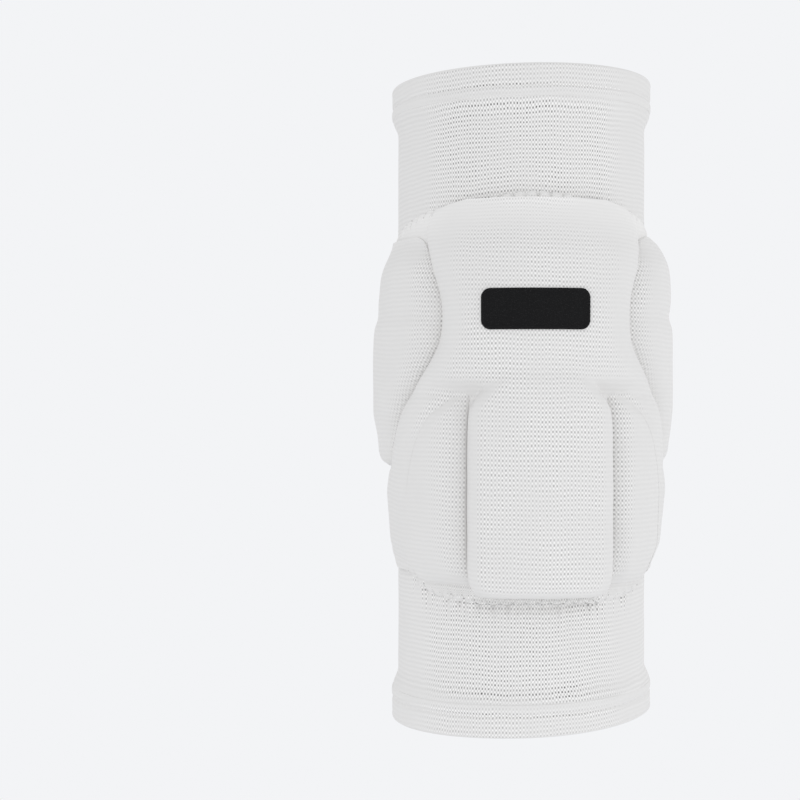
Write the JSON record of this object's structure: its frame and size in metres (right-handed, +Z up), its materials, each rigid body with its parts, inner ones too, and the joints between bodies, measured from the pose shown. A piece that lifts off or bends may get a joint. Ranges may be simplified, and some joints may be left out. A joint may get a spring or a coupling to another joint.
{
  "type": "volleyball knee pad",
  "caption": "Knitted tube worn over the knee, with hems at both ends and a front panel of foam pads: a knee pad with arms, a block and lobes below it, and a pad at each side.",
  "frame": {"origin": "on the leg's axis, at the middle of the sleeve's length and of the knee", "axes": "+Z runs up the leg, -Y is the front of the knee, +X is at the right of the picture"},
  "size_m": [0.1216, 0.1197, 0.2532],
  "materials": {
    "white_knit": "white elastic rib knit with rows of small open stitches",
    "white_hem": "white folded knit with fine vertical ribs and a stitched groove",
    "padded_knit": "white knit stretched over soft foam",
    "black_embroidery": "black satin stitch with a slight sheen"
  },
  "bodies": {
    "root": {"sleeve": "white_knit", "upper_hem": "white_hem", "lower_hem": "white_hem", "front_panel": "white_knit", "centre_pad": "padded_knit", "left_shin_lobe": "padded_knit", "left_side_pad": "padded_knit", "right_shin_lobe": "padded_knit", "right_side_pad": "padded_knit", "embroidered_patch": "black_embroidery"}
  },
  "joints": []
}
